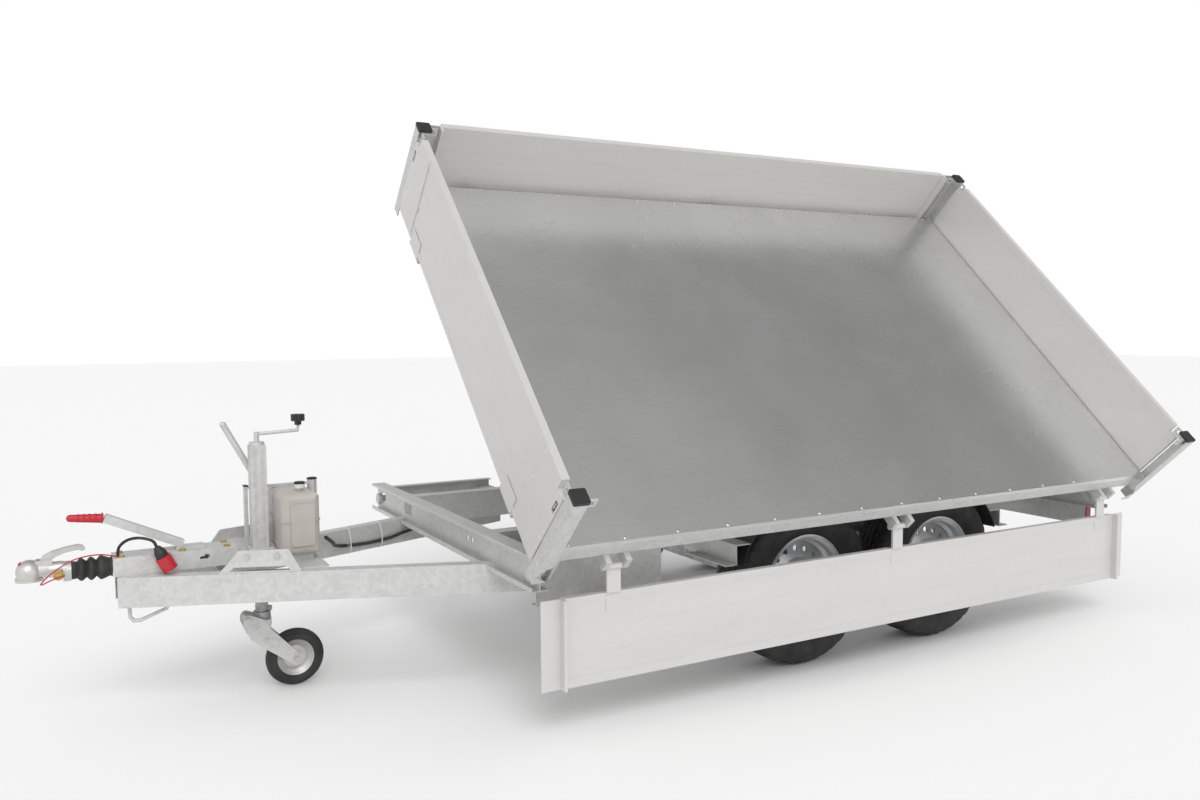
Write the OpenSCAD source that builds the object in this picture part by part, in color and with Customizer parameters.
// Three-way tipping trailer with two axles, bed tipped to its left, left board hanging open.
// Forward is -X, the left side is -Y. The origin is the centre of the tow ball.
// Heights and lengths below are read from the ground and from the middle of the bed.

/* [Bed] */
// Outer length of the bed over its end walls
bed_l = 2940; // [2700:10:3200]
// Outer width of the bed over its corner posts
bed_w = 1792; // [1700:2:1900]
// Height of the load floor above the ground with the bed down
floor_z = 727; // [720:1:760]
// Height of the corner posts above the load floor
post_h = 258; // [220:2:320]
// Width of a corner post's two faces
post_w = 48; // [44:1:60]
// Thickness of a side board or end wall
board_t = 25; // [20:1:30]
// Height of a side board
board_h = 286; // [250:2:330]
// Depth of the folded side rail under the floor
rail_h = 73; // [60:1:80]
// Angle by which the bed is tipped in the stored pose
tip_angle = 45; // [0:1:50]

/* [Chassis] */
// Height of the underside of the chassis beams above the ground
beam_z = 458; // [452:1:466]
// Height of the chassis beams
beam_h = 116; // [100:1:118]
// Length of the front and rear beams across the trailer
beam_l = 1720; // [1660:10:1730]
// Distance of each chassis longitudinal from the middle
spar_y = 434; // [420:2:440]
// Height of the drawbar tubes
drawbar_h = 100; // [80:1:110]
// Width of the drawbar tubes
drawbar_w = 50; // [40:1:60]
// Height of the bed's tipping axis above the ground
pivot_z = 509; // [500:1:520]

/* [Wheels] */
// Radius of the road tyres
tyre_r = 314; // [305:1:318]
// Width of the road tyres
tyre_w = 195; // [175:5:200]
// Radius of the rim flange
rim_r = 187; // [180:1:195]
// Distance of a tyre's outer face inside the bed's side
tyre_inset = 106; // [102:1:120]
// Position of the front axle behind the middle of the bed
axle_x1 = -256; // [-300:2:-230]
// Position of the rear axle behind the middle of the bed
axle_x2 = 440; // [430:2:480]

/* [Drawbar] */
// Distance of the tow ball's centre ahead of the middle of the bed
ball_x = 2805; // [2780:5:2900]
// Height of the tow ball's centre above the ground
ball_z = 515; // [500:1:525]
// Distance of the jockey wheel's post ahead of the middle of the bed
post_x = 2095; // [2085:1:2100]
// Radius of the jockey wheel
jockey_r = 103; // [95:1:110]

/* [Hidden] */
$fn = 48;
sheet = 4;              // thickness of folded galvanised sheet
gap = 0.3;              // clearance between pieces that rest against each other
eps = 1;                // how far a cutter runs past the face it cuts

// Colours
zinc = "#b9bbba";
zinc_dark = "#9a9c9b";
panel_grey = "#d7d6d1";
cast = "#c4c4be";
black_plastic = "#1d1d1f";
black_rubber = "#262524";
signal_red = "#c3202c";
box_grey = "#b3aca6";

// Bed, in its lowered position
half_l = bed_l / 2;
half_w = bed_w / 2;
track_y = half_w - tyre_inset;      // outer face of the tyres
pivot_y = beam_l / 2 - 45;          // the bed's tipping axes, from the middle
post_top = floor_z + post_h;
floor_t = sheet;
rail_y = half_w - 30;               // outer face of the side rails
rail_z = floor_z - floor_t - rail_h;
end_x = half_l - board_t - 5;       // outer face of the end rails
board_top = post_top - 2;
board_z = board_top - board_h;
hinge_z = floor_z - 116;            // axis of the board hinges
hinge_y = half_w - 10;
hinge_x = half_l - 10;
end_wall_z = hinge_z + 14;          // lower edge of the front wall
board_inner_y = half_w - board_t;
panel_half = half_l - post_w - 60;  // half length of a side board's panel
wall_half = half_w - post_w - 5;    // half length of an end wall
post_tip_z = floor_z - 143;
cross_h = 60;
spar_w = 60;
bed_spar_z = beam_z + beam_h + 12;  // underside of the bed's own long beams
knuckle_r = 11;
pin_r = 6;
fit = 0.05;                         // radial clearance of a running fit
arm_w = 50;

// Chassis
beam_x = half_l - 30;               // outer face of the front beam
rear_beam_x = half_l - 45;          // outer face of the rear beam
beam_d = 60;
beam_top = beam_z + beam_h;
tip_pin_r = 15;
lug_t = 12;
lug_gap = 6;
member_y = pivot_y - 49;            // outer face of the short side members
member_z = beam_z - 76;
member_end = 900;
member_top = beam_top - 3;

// Drawbar
bar_top = beam_z + 19;             // the tubes run through notches in the beam
bar_z = bar_top - drawbar_h;
bar_front = 2557;                   // front end of the drawbar, ahead of the bed's middle
bar_front_y = 70;                   // outer face of a drawbar tube at its front end
bar_angle = 21;
bar_end = 905;
housing_w = 110;
housing_top = 540;
housing_back = 2178;
bellows_front = 2686;

// Wheels
wheel_y = track_y - tyre_w / 2;
disc_y = track_y - 70;
hub_r = 62;
spindle_r = 18;
axle_back = 155;                    // the axle tube lies ahead of its wheels
axle_z = tyre_r + 60;
axle_size = 80;
arm_y = track_y - tyre_w - 36;
guard_r = tyre_r + 20;
guard_t = 4;

// Jockey wheel
wheel_back = 110;                   // trail of the jockey wheel behind its post
leg_r = 22;
post_size = 54;
post_low = 440;
post_high = 880;

// Hydraulic cylinder, drawn at its stored length and lean
cyl_z = 440;                        // height of the barrel's trunnions
head_z = bed_spar_z + 76;           // height of the rod's eye with the bed down
pivot_arm = [pivot_y, head_z - pivot_z];
head_y = -pivot_y + pivot_arm[0] * cos(tip_angle) - pivot_arm[1] * sin(tip_angle);
head_h = pivot_z + pivot_arm[0] * sin(tip_angle) + pivot_arm[1] * cos(tip_angle);
cyl_len = sqrt(pow(head_y, 2) + pow(head_h - cyl_z, 2));
cyl_lean = atan2(-head_y, head_h - cyl_z);
stage_r = [70, 58, 46, 34];
stage_len = 250;
barrel_drop = 200;                  // part of the barrel below its trunnions
barrel_rise = stage_len - barrel_drop;

// Places everything from the ground and bed coordinates at the tow ball
module place() translate([ball_x, 0, -ball_z]) children();

// Turns the lowered bed about its tipping axis
module tipped()
    place() translate([0, -pivot_y, pivot_z]) rotate([tip_angle, 0, 0])
        translate([0, pivot_y, -pivot_z]) children();

module both_sides() {
    children();
    mirror([0, 1, 0]) children();
}

module both_ends() {
    children();
    mirror([1, 0, 0]) children();
}

// A cube between two corners
module span(low, high) translate(low) cube(high - low);

// A square tube between two corners along X, open at its ends
module tube_x(low, high, wall) difference() {
    span(low, high);
    span(low + [-eps, wall, wall], high + [eps, -wall, -wall]);
}

// A bar along Y with a round section
module rod_y(x, z, y0, y1, r) translate([x, y0, z]) rotate([-90, 0, 0]) cylinder(r = r, h = y1 - y0);

// A bar along X with a round section
module rod_x(y, z, x0, x1, r) translate([x0, y, z]) rotate([0, 90, 0]) cylinder(r = r, h = x1 - x0);

// A channel beam across the trailer, its web set back behind rolled lips
web_back = 28;
module cross_beam(face, depth) difference() {
    span([-face, -beam_l / 2, beam_z], [-face + depth, beam_l / 2, beam_top]);
    span([-face + web_back + sheet, -beam_l / 2 - eps, beam_z + sheet], [-face + depth + eps, beam_l / 2 + eps, beam_top - sheet]);
    span([-face + sheet, -beam_l / 2 - eps, beam_z + sheet], [-face + web_back, beam_l / 2 + eps, beam_top - sheet]);
    span([-face - eps, -beam_l / 2 - eps, beam_z + 16], [-face + sheet + eps, beam_l / 2 + eps, beam_top - 9]);
    children();
}

// A flat link: two round ends joined by their common tangents
module link(a, ra, b, rb) {
    d = b - a;
    along = atan2(d[1], d[0]);
    spread = acos((ra - rb) / norm(d));
    polygon([a + ra * [cos(along + spread), sin(along + spread)], b + rb * [cos(along + spread), sin(along + spread)],
        b + rb * [cos(along - spread), sin(along - spread)], a + ra * [cos(along - spread), sin(along - spread)]]);
    translate(a) circle(r = ra);
    translate(b) circle(r = rb);
}

// A tipping pin with its head outside the beam
module tipping_pin(face, depth) {
    rod_x(0, 0, -face + web_back - 16, -face + web_back + 1, 24);
    rod_x(0, 0, -face + web_back - 1, -face + depth + lug_gap + lug_t + 8, tip_pin_r);
}

module front_beam() color(zinc) place() {
    cross_beam(beam_x, beam_d) {
        // Oval and square holes in the web
        for (y = [-300, -255]) translate([-beam_x + web_back, y, beam_z + 62]) rotate([0, 90, 0])
            cylinder(r = 11, h = 4 * sheet, center = true);
        translate([-beam_x + web_back, 770, beam_z + 62]) cube([4 * sheet, 60, 40], center = true);
        both_sides() drawbar_tube(gap, false, gap);
    }
    both_sides() translate([0, -pivot_y, pivot_z]) tipping_pin(beam_x, beam_d);
}

module rear_beam() color(zinc) place() mirror([1, 0, 0]) {
    cross_beam(rear_beam_x, beam_d);
    both_sides() translate([0, -pivot_y, pivot_z]) tipping_pin(rear_beam_x, beam_d);
}

// Long beams of the chassis with the cradle of the cylinder
cradle_x = 120;
module spars() color(zinc) place() {
    both_sides() tube_x([-beam_x + beam_d + gap, -spar_y - spar_w / 2, beam_z],
        [rear_beam_x - beam_d - gap, -spar_y + spar_w / 2, beam_top], sheet);
    for (s = [-1, 1]) difference() {
        span([s * cradle_x - 25, -spar_y + spar_w / 2 - eps, beam_z], [s * cradle_x + 25, spar_y - spar_w / 2 + eps, beam_z + 60]);
        span([s * cradle_x - 25 + sheet, -spar_y, beam_z + sheet], [s * cradle_x + 25 + eps, spar_y, beam_z + 60 - sheet]);
    }
    // Trunnion plates hanging from the cradle
    for (s = [-1, 1]) difference() {
        span([s * 98 - 6, -45, cyl_z - 35], [s * 98 + 6, 45, beam_z + 1]);
        rod_x(0, cyl_z, s * 98 - 10, s * 98 + 10, 14 + fit);
    }
    // Outriggers that carry the side members and the ends of the drawbar
    both_sides() span([-member_end - 60, -member_y + sheet + gap, bar_top + gap], [-member_end, -spar_y - spar_w / 2 + eps, bar_top + 60]);
}

// Short folded side members behind the front beam
module side_members() color(zinc) place() both_sides() {
    difference() {
        span([-beam_x + beam_d + gap, -member_y, member_z], [-member_end, -member_y + 35, member_top]);
        span([-beam_x + beam_d - eps, -member_y + sheet, member_z + sheet], [-member_end + eps, -member_y + 35 + eps, member_top - sheet]);
        // Room for the outrigger
        span([-member_end - 60 - gap, -member_y + sheet, bar_top], [-member_end + eps, -member_y + 40, bar_top + 60 + gap]);
    }
}

// One drawbar tube on the left, grown by a margin
module drawbar_tube(grow, hollow, rise = 0) {
    length = (bar_front - bar_end) / cos(bar_angle);
    translate([-bar_front, -bar_front_y, bar_z]) rotate([0, 0, -bar_angle]) difference() {
        translate([0, -grow, 0]) cube([length, drawbar_w + 2 * grow, drawbar_h + rise]);
        if (hollow) translate([-length, sheet, sheet]) cube([3 * length, drawbar_w - 2 * sheet, drawbar_h - 2 * sheet]);
    }
}

module drawbar() color(zinc) place() {
    both_sides() difference() {
        drawbar_tube(0, true);
        span([-bar_front - 50, -3, bar_z - eps], [-bar_front + 300, 200, bar_top + eps]);
    }
    // Mounting plates of the overrun unit between the tubes
    for (x = [-2530, -2240]) span([x, -(bar_front_y + (bar_front + x) * tan(bar_angle)) + drawbar_w / 2, bar_top - 30],
        [x + 60, bar_front_y + (bar_front + x) * tan(bar_angle) - drawbar_w / 2, bar_top - 20]);
    // Bent guide rod under the front end
    for (i = [0 : len(guide_rod) - 2]) rod_between(guide_rod[i], guide_rod[i + 1], 6);
}
guide_rod = [[-2523, -44, bar_z + 2], [-2521, -44, bar_z - 40], [-2510, -45, bar_z - 54],
    [-2490, -46, bar_z - 54], [-2412, -62, bar_z - 22], [-2398, -64, bar_z + 6]];

// A round bar between two points
module rod_between(a, b, r) {
    d = b - a;
    translate(a) rotate([0, acos(d[2] / norm(d)), atan2(d[1], d[0])]) cylinder(r = r, h = norm(d));
    translate(b) sphere(r = 1.05 * r);
}

// Folded housing of the overrun unit
module overrun_housing() color(zinc) place() difference() {
    span([-bar_front - 9, -housing_w / 2, bar_top + gap], [-housing_back, housing_w / 2, housing_top]);
    span([-bar_front - 9 - eps, -housing_w / 2 + 5, bar_top - eps], [-housing_back - 5, housing_w / 2 - 5, housing_top - 5]);
    // Tapered rear end
    translate([-housing_back + 60, 0, bar_top - 50]) rotate([0, -28, 0]) cube([120, housing_w + 2 * eps, 190], center = true);
    // Slot for the brake linkage
    translate([-2275, -housing_w / 2, housing_top - 24]) rotate([90, 0, 0]) cylinder(r = 7, h = 30, center = true);
}

// Cast coupling head around the tow ball
ball_r = 25;
head_wall = 14;
neck_x = 56;                        // start of the neck behind the ball
flange_x = 96;                      // mounting flange behind the ball
bellows_drop = 10;                  // axis of the bellows below the ball's centre
module coupling_head() color(cast) place() translate([-ball_x, 0, ball_z]) difference() {
    union() {
        // Bulged cup over the ball
        sphere(r = ball_r + head_wall);
        translate([0, 0, -27]) cylinder(r = ball_r + head_wall - 2, h = 27);
        translate([0, 0, -28]) cylinder(r = ball_r + head_wall + 2, h = 9);
        // Neck that widens to the flange
        translate([10, 0, 2]) rotate([0, 90, 0]) cylinder(r1 = 30, r2 = 25, h = neck_x - 10);
        rod_x(0, 0, neck_x - 1, flange_x, 25.5);
        rod_x(0, -bellows_drop, flange_x - 1, ball_x - bellows_front - gap, 33);
        rod_x(0, -bellows_drop, flange_x, ball_x - bar_front + 40, 22);
        // Cheeks on which the latch handle turns
        both_sides() span([18, -20, 14], [66, -12 - gap, 36]);
        // Bolt across the neck
        rod_y(82, -14, -38, 38, 9);
    }
    sphere(r = ball_r + 0.5);
    translate([0, 0, -40]) cylinder(r = ball_r + 0.5, h = 40);
}

// Curved latch handle on the coupling head
module coupling_handle() color(cast) place() translate([-ball_x, 12, ball_z]) rotate([90, 0, 0]) linear_extrude(24)
    polygon([[34, 30], [56, 30], [64, 34], [78, 43], [105, 53], [141, 58],
        [153, 53], [163, 57], [156, 69], [141, 74], [103, 69], [63, 59], [41, 47], [31, 36]]);

// Rubber bellows between the head and the housing
module bellows() color(black_rubber) place() translate([-bellows_front, 0, ball_z - bellows_drop]) rotate([0, 90, 0])
    difference() {
        rotate_extrude() polygon(concat([[0, 0]], bellows_edge(), [[0, bellows_front - bar_front - 9 - gap]]));
        translate([0, 0, -eps]) cylinder(r = 22.3, h = 200);
    }
folds = 3;
function bellows_edge() = concat([[29, 0], [29, 12]],
    [for (i = [0 : folds - 1], p = [[27, 3], [37 + i, 13], [37 + i, 20]]) [p[0], 12 + i * 29 + p[1]]],
    [[30, bellows_front - bar_front - 16], [34, bellows_front - bar_front - 9 - gap]]);

// Handbrake lever, a folded channel with a plastic grip
lever_base = [-2347, 0, 557];
lever_bend = [-2584, 0, 668];
lever_tip = [-2683, 0, 676];
module lever_frame(a, b) {
    d = b - a;
    translate(a) rotate([0, -atan2(d[2], d[0]), 0]) children();
}
module handbrake_lever() color(zinc) place() {
    lever_frame(lever_base, lever_bend) difference() {
        translate([0, -15, -14]) cube([norm(lever_bend - lever_base), 30, 28]);
        translate([-eps, -12, -20]) cube([norm(lever_bend - lever_base) + 2 * eps, 24, 31]);
    }
    translate([-2370, -25, housing_top + gap]) cube([90, 50, 10]);
    rod_between(lever_bend, lever_tip + [15, 0, 0], 9);
}
module handbrake_grip() color(signal_red) place() difference() {
    hull() {
        translate(lever_bend + [-12, 0, 0]) rotate([0, 90, 0]) cylinder(r = 15, h = 6, $fn = 32);
        translate(lever_tip) sphere(r = 12, $fn = 32);
    }
    rod_between(lever_bend, lever_tip + [15, 0, 0], 9.3);
}

// A soft cord swept along hand-chosen points, with round bends
function lerp(a, b, t) = a + (b - a) * t;
function cord_point(p, i, t) = let (a = p[max(i - 1, 0)], b = p[i], c = p[i + 1], d = p[min(i + 2, len(p) - 1)])
    0.5 * ((2 * b) + (c - a) * t + (2 * a - 5 * b + 4 * c - d) * t * t + (3 * b - a - 3 * c + d) * t * t * t);
function cord_path(p, steps) = concat([for (i = [0 : len(p) - 2], j = [0 : steps - 1]) cord_point(p, i, j / steps)], [p[len(p) - 1]]);
function unit(v) = v / norm(v);
function cord_dir(q, i) = unit(q[min(i + 1, len(q) - 1)] - q[max(i - 1, 0)]);
function cord_ring(c, d, r, sides) = let (s = unit(cross(d, abs(d[0]) > 0.9 ? [0, 1, 0] : [1, 0, 0])), u = cross(s, d))
    [for (k = [0 : sides - 1]) c + r * (cos(360 * k / sides) * s + sin(360 * k / sides) * u)];
module cord(points, r, steps, sides) {
    q = cord_path(points, steps);
    n = len(q);
    rings = [for (i = [0 : n - 1]) each cord_ring(q[i], cord_dir(q, i), r, sides)];
    walls = [for (i = [0 : n - 2], k = [0 : sides - 1]) let (m = (k + 1) % sides)
        [i * sides + k, i * sides + m, (i + 1) * sides + m, (i + 1) * sides + k]];
    first_cap = [for (k = [0 : sides - 1]) sides - 1 - k];
    last_cap = [for (k = [0 : sides - 1]) (n - 1) * sides + k];
    polyhedron(rings, concat(walls, [first_cap, last_cap]), convexity = 8);
}

// Cable that pulls the handbrake if the trailer breaks away
module breakaway_cable() color(signal_red) place()
    cord([[-2552, -34, 542.6], [-2610, -40, 556], [-2680, -46, 548], [-2740, -52, 515], [-2775, -52, 480], [-2740, -50, 492], [-2705, -46, 500]], 2.2, 4, 8);

// Lead to the towing vehicle's plug, parked on the housing
plug_tilt = 27;
plug_at = [-2408, -84, 514];
module plug_axis() translate(plug_at) rotate([0, -plug_tilt, 0]) children();
module parking_socket() color(signal_red) place() {
    plug_axis() {
        difference() {
            translate([0, 0, -25]) cylinder(r = 25, h = 50);
            translate([0, 0, -10]) cylinder(r = 20.3, h = 40);
        }
    }
    span([plug_at[0] - 12, -62, plug_at[2] - 22], [plug_at[0] + 12, -housing_w / 2 - gap, plug_at[2] + 4]);
}
module plug() color(black_plastic) place() plug_axis() {
    translate([0, 0, -9]) cylinder(r = 20, h = 50);
    translate([0, 0, 41]) cylinder(r1 = 20, r2 = 10, h = 22);
}
module electric_cable() color(black_rubber) place() {
    top = plug_at + 63 * [-sin(plug_tilt), 0, cos(plug_tilt)];
    cord([top, top + [-12, 0, 22], [-2485, -70, 603], [-2520, -48, 596], [-2545, -30, 572], [-2550, -25, housing_top + gap]], 5, 4, 8);
}

// Bridge across the drawbar that holds the jockey post, with a plate along each tube
bridge_front = 2175;
bridge_back = 2047;
bridge_top = 512;
bridge_t = 6;
function bar_y(x) = bar_front_y + (bar_front - x) * tan(bar_angle);
module jockey_bridge() color(zinc) place() difference() {
    union() {
        translate([0, 0, bridge_top - bridge_t]) linear_extrude(bridge_t) polygon([
            [-bridge_front, -bar_y(bridge_front) + bridge_t + 2], [-bridge_back, -bar_y(bridge_back) + bridge_t + 2],
            [-bridge_back, bar_y(bridge_back) - bridge_t - 2], [-bridge_front, bar_y(bridge_front) - bridge_t - 2]]);
        both_sides() translate([-bar_front, -bar_front_y, 0]) rotate([0, 0, -bar_angle])
            translate([0, bridge_t + 2, 0]) rotate([90, 0, 0]) linear_extrude(bridge_t) difference() {
                polygon([[316, bar_top + gap], [584, bar_top + gap], [543, 553], [382, 553]]);
                polygon([[350, bar_top + 6], [548, bar_top + 6], [535, bar_top + 20], [366, bar_top + 20]]);
            }
    }
    span([-post_x - post_size / 2 - gap, -post_size / 2 - gap, bridge_top - 10], [-post_x + post_size / 2 + gap, post_size / 2 + gap, bridge_top + 10]);
}

// Ribbed square post of the jockey wheel with its crank
module jockey_post() color(zinc) place() {
    translate([-post_x, 0, 0]) {
        difference() {
            translate([0, 0, post_low]) linear_extrude(post_high - post_low) difference() {
                square(post_size, center = true);
                circle(r = leg_r + fit);
                // Ribs along each face
                for (a = [0 : 90 : 270], s = [-1, 1]) rotate(a) translate([post_size / 2, s * 13]) square([4, 12], center = true);
            }
        }
        // Flange that rests on the bridge
        difference() {
            translate([-42, -42, bridge_top + gap]) cube([84, 84, 6]);
            translate([0, 0, bridge_top - 10]) cylinder(r = leg_r + fit, h = 40);
        }
        translate([0, 0, post_high]) cylinder(r = 26, h = 10);
        translate([0, 0, post_high]) cylinder(r = 9, h = 45);
        rod_between([0, 0, post_high + 38], [140, 0, post_high + 44], 6);
        rod_between([140, 0, post_high + 44], [144, 0, post_high + 58], 5);
    }
}
module crank_knob() color(black_plastic) place() translate([-post_x + 144, 0, post_high + 58 + 5 + gap]) {
    cylinder(r = 12, h = 14);
    translate([0, 0, 14]) difference() {
        cylinder(r = 24, h = 24);
        for (a = [0 : 60 : 300]) rotate(a) translate([27, 0, -eps]) cylinder(r = 7, h = 30);
    }
}

// Sliding leg, swivel fork and wheel of the jockey wheel
fork_z = 246;                       // plane in which the fork turns under the leg
module jockey_leg() color(zinc_dark) place() translate([-post_x, 0, 0]) {
    translate([0, 0, fork_z + 22]) cylinder(r = leg_r, h = post_high - fork_z - 230);
    translate([0, 0, fork_z + 16 + gap]) cylinder(r = 30, h = 24);
    span([20, -8, fork_z + 40], [34, 8, fork_z + 55]);
}
fork_outline = [[-58, 284], [-69, 271], [-69, 250], [-46, 197], [8, 152], [96, 88], [122, 118], [26, 223], [2, 262], [-44, 284]];
module jockey_fork() color(zinc) place() translate([-post_x, 0, 0]) {
    translate([0, 0, fork_z - 12]) cylinder(r = 32, h = 28);
    both_sides() translate([0, -34, 0]) rotate([90, 0, 0]) linear_extrude(5) difference() {
        union() {
            polygon(fork_outline);
            translate([wheel_back, jockey_r]) circle(r = 21);
        }
        translate([wheel_back, jockey_r]) circle(r = 8 + fit);
    }
    both_sides() span([-22, -37, fork_z - 11], [22, -20, fork_z + 14]);
    // Bolt through the plates ahead of the leg
    rod_y(-54, 268, -46, 46, 9);
}
module jockey_axis() translate([-post_x + wheel_back, 0, jockey_r]) rotate([-90, 0, 0]) children();
module jockey_tyre() color(black_rubber) place() jockey_axis() rotate_extrude()
    union() {
        translate([jockey_r - 16, 0]) union() { circle(r = 16); translate([-22, -20]) square([22, 40]); }
    }
module jockey_disc() color(cast) place() jockey_axis() {
    rotate_extrude() polygon([[18, -6], [40, -3], [56, -12], [jockey_r - 38.3, -19], [jockey_r - 38.3, 19], [56, 14], [40, 3], [18, 8]]);
    difference() {
        translate([0, 0, -26]) cylinder(r = 19, h = 52);
    }
    translate([0, 0, -40]) cylinder(r = 8, h = 80);
}

// Hand pump and oil tank behind the jockey post
box_x = 2045;
box_l = 131;
box_y = 150;
box_z = 500;
box_top = 718;
module rounded_box(low, high, r) {
    // A box with rounded upright edges
    translate([0, 0, low[2]]) linear_extrude(high[2] - low[2]) union() {
        translate([low[0] + r, low[1]]) square([high[0] - low[0] - 2 * r, high[1] - low[1]]);
        translate([low[0], low[1] + r]) square([high[0] - low[0], high[1] - low[1] - 2 * r]);
        for (x = [low[0] + r, high[0] - r], y = [low[1] + r, high[1] - r]) translate([x, y]) circle(r = r);
    }
}
module pump_box() color(box_grey) place() {
    // Rounded along its length and across it
    intersection() {
        rotate([90, 0, 0]) rounded_box([-box_x, box_z, -box_y], [-box_x + box_l, box_top, box_y], 26);
        rotate([90, 0, 90]) rounded_box([-box_y, box_z, -box_x], [box_y, box_top, -box_x + box_l], 26);
        rounded_box([-box_x, -box_y, box_z], [-box_x + box_l, box_y, box_top], 26);
    }
    // Raised panel on its left face
    rotate([90, 0, 0]) rounded_box([-box_x + 28, box_z + 34, box_y - 1], [-box_x + box_l - 22, box_top - 36, box_y + 6], 14);
    // Seam round the middle and the filler's neck
    rounded_box([-box_x - 3, -box_y - 3, box_z + 118], [-box_x + box_l + 3, box_y + 3, box_z + 123], 28);
    translate([-box_x + 76, -80, box_top - 2]) cylinder(r = 13, h = 14);
    translate([-box_x + 76, -80, box_top + 10]) cylinder(r = 17, h = 14);
}
module pump_frame() color(zinc) place() {
    base_y = bar_front_y + (bar_front - box_x) * tan(bar_angle) - 12;
    span([-2018, -base_y, bar_top + gap], [-box_x + box_l, base_y, bar_top + 6]);
    both_sides() span([-box_x + 40, -box_y + 30, bar_top + 5], [-box_x + 110, -box_y + 60, box_z - gap]);
    // Pump tube behind the box, upright on the bridge, bar between them and the lever
    translate([-tube_x, frame_y, bar_top + 5]) difference() {
        cylinder(r = 17, h = frame_top - bar_top + 8);
        translate([0, 0, 20]) cylinder(r = 13, h = 300);
    }
    span([-box_x + box_l - 1, frame_y - 20, bar_top + gap], [-tube_x + 20, frame_y + 20, bar_top + 6]);
    span([-2134, frame_y - 12, bridge_top + gap], [-2122, frame_y + 12, frame_top]);
    span([-2134, frame_y - 8, box_top + gap], [-tube_x - 14, frame_y + 8, frame_top]);
    rod_between([-2076, frame_y, frame_top - 4], [-2116, frame_y, 799], 11);
    rod_between([-2116, frame_y, 799], [-2196, frame_y, 950], 11);
}
frame_y = 60;
frame_top = 727;
tube_x = box_x - box_l - 20;
module hydraulic_hose() color(black_rubber) place()
    cord([[-tube_x + 46, 62, 512], [-1800, 150, 470], [-1760, 280, 430], [-1700, 337, 412], [-1600, 376, 405],
        [-1500, 414, 408], [-1440, 436, 418], [-1385, 440, 431], [-1371, 438, 442], [-1371, 438, 449], [-1371, 438, beam_z - 0.5]], 7, 4, 8);

// Rubber-sprung axles with their arms, spindles and brake plates
module axles() color(zinc_dark) place() for (x = [axle_x1, axle_x2]) {
    span([x - axle_back - axle_size / 2, -arm_y + 10, axle_z - axle_size / 2], [x - axle_back + axle_size / 2, arm_y - 10, axle_z + axle_size / 2]);
    both_sides() {
        // Seat under the chassis spar
        span([x - axle_back - 60, -spar_y - 40, axle_z + axle_size / 2 - eps], [x - axle_back + 60, -spar_y + 40, beam_z - gap]);
        // Trailing arm
        translate([0, -arm_y + 30, 0]) rotate([90, 0, 0]) linear_extrude(26) link([x - axle_back, axle_z], 42, [x, tyre_r], 32);
        rod_y(x, tyre_r, -arm_y - 24, -arm_y + 10, 112);
        rod_y(x, tyre_r, -disc_y - 3, -arm_y, spindle_r);
    }
}

// A road wheel's tyre and rim, outer face towards -Y
module at_wheel(x, side) place() translate([x, 0, tyre_r]) mirror([0, side > 0 ? 1 : 0, 0]) rotate([90, 0, 0]) children();
module tyre_shape() rotate_extrude() {
    crown = 26;
    out = track_y;
    inn = track_y - tyre_w;
    difference() {
        union() {
            translate([rim_r - 13.7, inn + 28.3]) square([20, tyre_w - 56.6]);
            translate([rim_r + 0.4, inn + 20]) square([tyre_r - rim_r - crown, tyre_w - 40]);
            translate([rim_r + 20.4, inn]) square([tyre_r - rim_r - 20.4 - crown, tyre_w]);
            translate([tyre_r - crown - eps, inn + crown]) square([crown + eps, tyre_w - 2 * crown]);
            for (y = [inn + crown, out - crown]) translate([tyre_r - crown, y]) circle(r = crown);
            for (y = [inn + 20, out - 20]) translate([rim_r + 20.4, y]) circle(r = 20);
        }
        translate([rim_r - 30, inn + 34]) square([tyre_r - rim_r + 30 - 22, tyre_w - 68]);
    }
}
module rim_shape() {
    out = track_y - 16;
    inn = track_y - tyre_w + 16;
    difference() {
        rotate_extrude() polygon([
            [rim_r, out], [rim_r, out - 6], [rim_r - 14, out - 12], [rim_r - 18, out - 40], [rim_r - 30, out - 52],
            [rim_r - 30, inn + 40], [rim_r - 18, inn + 26], [rim_r - 14, inn + 12], [rim_r, inn + 6], [rim_r, inn],
            [rim_r - 18, inn + 4], [rim_r - 24, inn + 28], [rim_r - 36, inn + 42], [rim_r - 36, disc_y - 22],
            [120, disc_y - 18], [92, disc_y - 2], [hub_r + 8, disc_y - 6], [hub_r + 8, disc_y - 10], [hub_r, disc_y - 34],
            [spindle_r + fit, disc_y - 34], [spindle_r + fit, disc_y + 6], [46, disc_y + 6], [hub_r + 8, disc_y], [92, disc_y + 4],
            [122, disc_y - 12], [rim_r - 36, disc_y - 14], [rim_r - 36, out - 50], [rim_r - 24, out - 38], [rim_r - 20, out - 10], [rim_r - 8, out]
        ]);
        for (a = [0 : 22.5 : 337.5]) rotate(a) translate([124, 0, disc_y - 60]) cylinder(r = 11, h = 90);
        for (a = [0 : 72 : 288]) rotate(a) translate([56, 0, disc_y - 4]) cylinder(r = 8, h = 20);
    }
    translate([0, 0, disc_y + 6]) cylinder(r = 34, h = 14);
}

module tyre_front_left() color(black_rubber) at_wheel(axle_x1, -1) tyre_shape();
module rim_front_left() color(cast) at_wheel(axle_x1, -1) rim_shape();
module tyre_rear_left() color(black_rubber) at_wheel(axle_x2, -1) tyre_shape();
module rim_rear_left() color(cast) at_wheel(axle_x2, -1) rim_shape();
module tyre_front_right() color(black_rubber) at_wheel(axle_x1, 1) tyre_shape();
module rim_front_right() color(cast) at_wheel(axle_x1, 1) rim_shape();
module tyre_rear_right() color(black_rubber) at_wheel(axle_x2, 1) tyre_shape();
module rim_rear_right() color(cast) at_wheel(axle_x2, 1) rim_shape();

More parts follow.
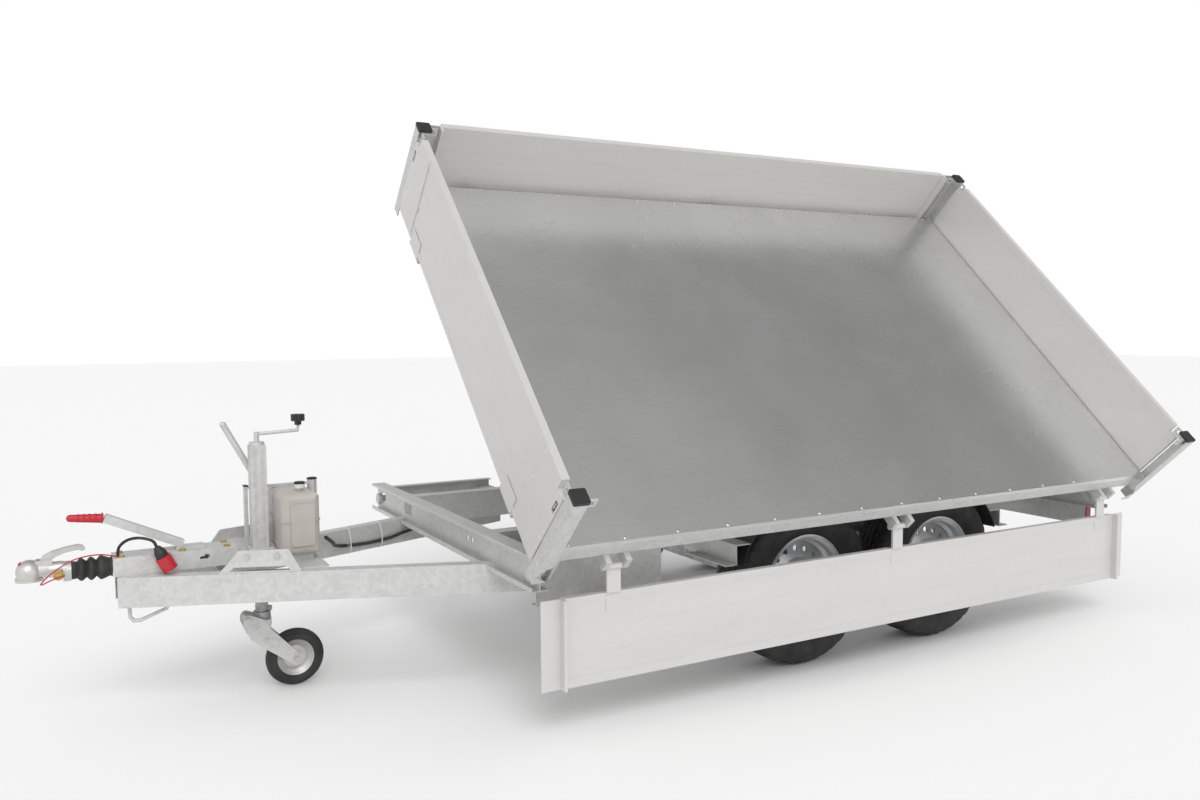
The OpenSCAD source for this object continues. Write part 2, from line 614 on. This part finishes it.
// Plastic mudguards over each pair of wheels
guard_in = track_y - tyre_w - 8;
guard_out = track_y + 8;
module guard_outline(r) {
    for (x = [axle_x1, axle_x2]) translate([x, tyre_r]) circle(r = r, $fn = 64);
    translate([axle_x1, tyre_r]) square([axle_x2 - axle_x1, r - 70]);
}
module mudguards() color(black_plastic) place() both_sides()
    translate([0, -guard_in, 0]) rotate([90, 0, 0]) linear_extrude(guard_out - guard_in) difference() {
        guard_outline(guard_r + guard_t);
        guard_outline(guard_r);
        translate([-1200, -100]) square([2400, 530]);
    }
// Folded brackets that hold the mudguards' ends
module mudguard_brackets() color(zinc) place() both_sides() for (s = [-1, 1]) {
    hub = s < 0 ? -axle_x1 : axle_x2;
    reach = sqrt(pow(guard_r + guard_t + gap, 2) - pow(500 - tyre_r, 2));
    mirror([s < 0 ? 1 : 0, 0, 0]) translate([hub, 0, 0]) {
        // Upright plate from the long beam, and a flange that meets the mudguard
        span([reach + 60, -guard_out, 430], [reach + 60 + sheet, -spar_y - spar_w / 2 - gap, 504]);
        span([reach, -guard_out, 500], [reach + 61, -guard_in + 40, 504]);
        span([reach + 60, -guard_out, 430], [reach + 110, -guard_in + 40, 430 + sheet]);
    }
}

// Bar with the rear lamps
lamp_w = 170;
module light_bar() color(zinc) place() {
    span([rear_beam_x - 44, -780, 372], [rear_beam_x - 40, 780, beam_z - gap]);
    span([rear_beam_x - 44, -780, 372], [rear_beam_x - 24, 780, 376]);
    for (y = [-600, 600]) span([rear_beam_x - 44, y - 20, beam_z - 6], [rear_beam_x - 20, y + 20, beam_z - gap]);
}
module tail_lamps() color(signal_red) place() both_sides()
    translate([rear_beam_x - 40 + gap, -700, 418]) rotate([90, 0, 90]) linear_extrude(30) union() {
        square([lamp_w - 20, 70], center = true);
        square([lamp_w, 50], center = true);
        for (x = [-1, 1], y = [-1, 1]) translate([x * (lamp_w / 2 - 10), y * 25]) circle(r = 10);
    }

// Telescopic cylinder between the chassis and the bed
module cylinder_frame() place() translate([0, 0, cyl_z]) rotate([cyl_lean, 0, 0]) children();
module cylinder_barrel() color(zinc_dark) cylinder_frame() difference() {
    union() {
        translate([0, 0, -barrel_drop]) cylinder(r = stage_r[0], h = stage_len);
        translate([0, 0, -16]) cylinder(r = stage_r[0] + 8, h = 32);
        rod_x(0, 0, -112, 112, 14);
    }
    translate([0, 0, -barrel_drop + 8]) cylinder(r = stage_r[1] + fit, h = stage_len);
}
stage_step = (cyl_len - barrel_rise - 40) / 3;
stage_in = 30;                      // length of each stage that stays inside the one below
function stage_low(i) = barrel_rise + (i - 1) * stage_step - stage_in;
module stage(i) translate([0, 0, stage_low(i)]) cylinder(r = stage_r[i], h = stage_step + stage_in);
module cylinder_stage_1() color("silver") cylinder_frame() difference() {
    stage(1);
    translate([0, 0, stage_low(1) + 8]) cylinder(r = stage_r[2] + fit, h = stage_step + stage_in);
}
module cylinder_stage_2() color("silver") cylinder_frame() difference() {
    stage(2);
    translate([0, 0, stage_low(2) + 8]) cylinder(r = stage_r[3] + fit, h = stage_step + stage_in);
}
eye_r = 38;
eye_play = 16;
eye_pin = 9;
neck_l = 50;                        // from the rod's full width to the eye's centre
neck_r = 21;
module cylinder_rod() color("silver") cylinder_frame() difference() {
    union() {
        translate([0, 0, stage_low(3)]) cylinder(r = stage_r[3], h = cyl_len - stage_low(3) - neck_l);
        // Neck below the eye, clear of the fork's plates
        translate([0, 0, cyl_len - neck_l - eps]) cylinder(r = neck_r, h = neck_l - eye_r / 2);
        rod_x(0, cyl_len, -18, 18, eye_r);
    }
    rod_x(0, cyl_len, -30, 30, eye_pin + eye_play);
}

// Folded rails round the floor with their lugs and ears, in the bed's lowered position
rail_w = 45;
deck_z = floor_z - floor_t - gap;   // top of the frame under the floor
module bed_rails() color(zinc) tipped() difference() {
    union() {
        both_sides() difference() {
            span([-end_x, -rail_y, rail_z], [end_x, -rail_y + rail_w, deck_z]);
            span([-end_x - eps, -rail_y + sheet, rail_z + sheet], [end_x + eps, -rail_y + rail_w + 1, deck_z - sheet]);
        }
        both_ends() difference() {
            span([-end_x, -rail_y, rail_z], [-end_x + rail_w, rail_y, deck_z]);
            span([-end_x + sheet, -rail_y + sheet, rail_z + sheet], [-end_x + rail_w + 1, rail_y - sheet, deck_z - sheet]);
        }
        // Lugs round the tipping pins
        both_sides() {
            pivot_lug(-beam_x + beam_d + lug_gap);
            pivot_lug(rear_beam_x - beam_d - lug_gap - lug_t);
        }
        // Hinge ears of the boards and walls
        both_sides() for (x = arm_places) side_ears(x);
        for (y = end_arm_places) end_ears(y);
        for (y = end_arm_places) mirror([1, 0, 0]) end_ears(y, front_arm_w);
    }
    both_sides() rod_x(-pivot_y, pivot_z, -half_l, half_l, tip_pin_r + fit);
    // The right cups lift off their pins
    span([-half_l, pivot_y - 31, pivot_z - 31], [half_l, pivot_y + 31, pivot_z - 1]);
    span([-half_l, pivot_y - tip_pin_r - fit, pivot_z - 5], [half_l, pivot_y + tip_pin_r + fit, pivot_z]);
}

// Long beams that rest on the chassis
module bed_beams() color(zinc) tipped() both_sides()
    tube_x([-end_x + rail_w + gap, -spar_y - spar_w / 2, bed_spar_z], [end_x - rail_w - gap, -spar_y + spar_w / 2, deck_z - cross_h - gap], sheet);

// Cross members on the long beams, with the fork for the eye of the cylinder
bed_cross = 6;
fork_end = end_x / (bed_cross + 1);
module bed_cross_members() color(zinc) tipped() {
    for (i = [0 : bed_cross - 1]) let (x = -end_x + 2 * end_x * (i + 1) / (bed_cross + 1))
        difference() {
            span([x - 25, -rail_y + rail_w + gap, deck_z - cross_h], [x + 25, rail_y - rail_w - gap, deck_z]);
            span([x - 25 + sheet, -rail_y, deck_z - cross_h + sheet], [x + 26, rail_y, deck_z - sheet]);
        }
    span([-fork_end + 24, -60, deck_z - 12], [fork_end - 24, 60, deck_z]);
    for (s = [-1, 1]) span([s * 30 - 5, -60, head_z - 24], [s * 30 + 5, 60, deck_z - 11]);
    rod_x(0, head_z, -36, 36, eye_pin);
}
module pivot_lug(x) {
    span([x, -pivot_y - 30, pivot_z], [x + lug_t, -pivot_y + 30, floor_z - floor_t - 5]);
    rod_x(-pivot_y, pivot_z, x, x + lug_t, 30);
}
arm_places = [-1186, 50, 1262];
end_arm_places = [-600, 600];
ear_t = 8;
side_ear_t = 20;
module side_ears(x) for (s = [-1, 1]) {
    low = x + s * (arm_w / 2 + 2) + (s < 0 ? -side_ear_t : 0);
    span([low, -hinge_y - knuckle_r, hinge_z], [low + side_ear_t, -rail_y + 20, rail_z + 1]);
    rod_x(-hinge_y, hinge_z, low, low + side_ear_t, knuckle_r);
    if (s < 0) rod_x(-hinge_y, hinge_z, low, low + arm_w + 4 + 2 * side_ear_t, pin_r);
}
module end_ears(y, w = arm_w) for (s = [-1, 1]) {
    low = y + s * (w / 2 + 2) + (s < 0 ? -ear_t : 0);
    // Kept below the wall's lower edge outside the rail
    span([end_x - 20, low, hinge_z - knuckle_r], [hinge_x, low + ear_t, hinge_z + knuckle_r]);
    span([end_x - 20, low, hinge_z], [half_l - board_t - 4, low + ear_t, rail_z + 1]);
    rod_y(hinge_x, hinge_z, low, low + ear_t, knuckle_r);
    if (s < 0) rod_y(hinge_x, hinge_z, low, low + w + 4 + 2 * ear_t, pin_r);
}

module bed_floor() color(zinc_dark) tipped() {
    span([-end_x, -rail_y - 2.5, floor_z - floor_t], [end_x, rail_y + 2.5, floor_z]);
    // Folded edge over the side rails
    both_sides() span([-end_x, -rail_y - 2.5, floor_z - 22], [end_x, -rail_y - gap, floor_z]);
}

// Corner posts with their latch loops
module corner_post() {
    difference() {
        span([-half_l, -half_w, post_tip_z], [-half_l + post_w, -half_w + post_w, post_top]);
        span([-half_l + sheet, -half_w + sheet, post_tip_z - eps], [-half_l + post_w + eps, -half_w + post_w + eps, post_top + eps]);
        // Slanted lower end
        translate([-half_l + post_w, -half_w - eps, post_tip_z]) rotate([0, -50, 0]) cube([120, post_w + 2, 60]);
    }
    // Seat against the side rail and the end rail
    span([-half_l + sheet, -half_w + sheet, rail_z + 4], [-end_x - gap, -half_w + post_w, floor_z - floor_t - 4]);
    span([-end_x - gap, -half_w + sheet, rail_z + 4], [-half_l + post_w, -rail_y - gap, floor_z - 24]);
    // Latch loops on both sides of the cap
    translate([-half_l + 10, -half_w + sheet, post_top - loop_h]) latch_loop(post_w + loop_l - sheet);
    translate([-half_l + sheet, -half_w + 14, post_top - loop_h]) rotate([0, 0, -90]) mirror([1, 0, 0]) latch_loop(post_w + loop_l - sheet);
}
loop_l = 36;
loop_h = 32;
module latch_loop(reach) difference() {
    cube([5, reach, loop_h]);
    translate([-eps, reach - 26, 9]) cube([5 + 2 * eps, 16, 15]);
}
module corner_posts() color(zinc) tipped() both_ends() both_sides() corner_post();
module post_caps() color(black_plastic) tipped() both_ends() both_sides()
    rounded_box([-half_l - 2, -half_w - 2, post_top + gap], [-half_l + post_w + 4, -half_w + post_w + 4, post_top + 11], 6);

// Section of an aluminium board: outer face at 0, height along Y
module board_section(h) difference() {
    union() {
        square([board_t, 22]);
        translate([1.5, 0]) square([board_t - 3, h]);
        translate([0, h - 30]) square([board_t, 30]);
    }
    // Grooves in the outer face
    for (y = [h * 0.36, h * 0.64]) translate([0, y]) square([4, 6], center = true);
}

// One side board, closed, on the left
module side_board() {
    translate([panel_half, -half_w, board_z]) rotate([90, 0, -90]) linear_extrude(2 * panel_half) board_section(board_h);
    // Thin end plates that overlap the corner posts
    both_ends() {
        span([-panel_half - 10, -half_w - 5, board_z], [-panel_half, -half_w + board_t, board_top]);
        span([-half_l + 33, -half_w - 10, board_z], [-panel_half, -half_w - 5, board_top]);
    }
    for (x = arm_places) board_arm(x);
}
module board_arm(x) {
    difference() {
        union() {
            span([x - arm_w / 2, -hinge_y - knuckle_r, hinge_z], [x + arm_w / 2, -hinge_y - knuckle_r + 9, board_z + 60]);
            rod_x(-hinge_y, hinge_z, x - arm_w / 2, x + arm_w / 2, knuckle_r);
        }
        rod_x(-hinge_y, hinge_z, x - arm_w, x + arm_w, pin_r + fit);
        span([x - arm_w, -half_w, board_z], [x + arm_w, -half_w + 30, board_z + 70]);
    }
}
module left_board() color(panel_grey) tipped() translate([0, -hinge_y, hinge_z]) rotate([180 - tip_angle, 0, 0])
    translate([0, hinge_y, -hinge_z]) side_board();
module right_board() color(panel_grey) tipped() mirror([0, 1, 0]) side_board();

// End walls between the posts
// Notches at a wall's upper corners leave room for the latch loops
module wall_notches() both_sides() span([-half_l - 20, -wall_half - eps, board_top - loop_h - 6],
    [-half_l + board_t + eps, -wall_half + loop_l + 6, board_top + eps]);
module rear_wall() color(panel_grey) tipped() {
    difference() {
        translate([half_l, -wall_half, board_z]) rotate([90, 0, 180]) linear_extrude(2 * wall_half) board_section(board_h);
        mirror([1, 0, 0]) wall_notches();
    }
    for (y = end_arm_places) end_arm(y, board_z);
}
module end_arm(y, z, w = arm_w) difference() {
    union() {
        span([hinge_x + knuckle_r - 9, y - w / 2, hinge_z], [hinge_x + knuckle_r, y + w / 2, z + 60]);
        rod_y(hinge_x, hinge_z, y - w / 2, y + w / 2, knuckle_r);
    }
    rod_y(hinge_x, hinge_z, y - w, y + w, pin_r + fit);
    span([half_l - 30, y - w, z], [half_l, y + w, z + 70]);
}
module front_wall() color(panel_grey) tipped() {
    difference() {
        union() {
            translate([-half_l, wall_half, end_wall_z]) rotate([90, 0, 0]) linear_extrude(2 * wall_half) board_section(board_top - end_wall_z);
            // Reinforcing plates at both ends
            both_sides() span([-half_l - 2, -wall_half, end_wall_z + 20], [-half_l + 6, -wall_seam, board_top]);
        }
        wall_notches();
        // Recess of the latch lever
        both_sides() span([-half_l - 3, -wall_half + 8, latch_z - 24], [-half_l + 10, -wall_half + 24, latch_z + 24]);
    }
    for (y = end_arm_places) mirror([1, 0, 0]) end_arm(y, end_wall_z, front_arm_w);
}
wall_seam = 672;
latch_z = 890;
front_arm_w = 100;

front_beam();
rear_beam();
spars();
side_members();
drawbar();
overrun_housing();
coupling_head();
coupling_handle();
bellows();
handbrake_lever();
handbrake_grip();
breakaway_cable();
electric_cable();
plug();
parking_socket();
jockey_bridge();
jockey_post();
crank_knob();
pump_box();
pump_frame();
hydraulic_hose();
axles();
mudguards();
mudguard_brackets();
light_bar();
tail_lamps();
jockey_leg();
jockey_fork();
jockey_tyre();
jockey_disc();
cylinder_barrel();
cylinder_stage_1();
cylinder_stage_2();
cylinder_rod();
bed_rails();
bed_beams();
bed_cross_members();
bed_floor();
corner_posts();
post_caps();
front_wall();
right_board();
rear_wall();
left_board();
tyre_front_left();
rim_front_left();
tyre_rear_left();
rim_rear_left();
tyre_front_right();
rim_front_right();
tyre_rear_right();
rim_rear_right();
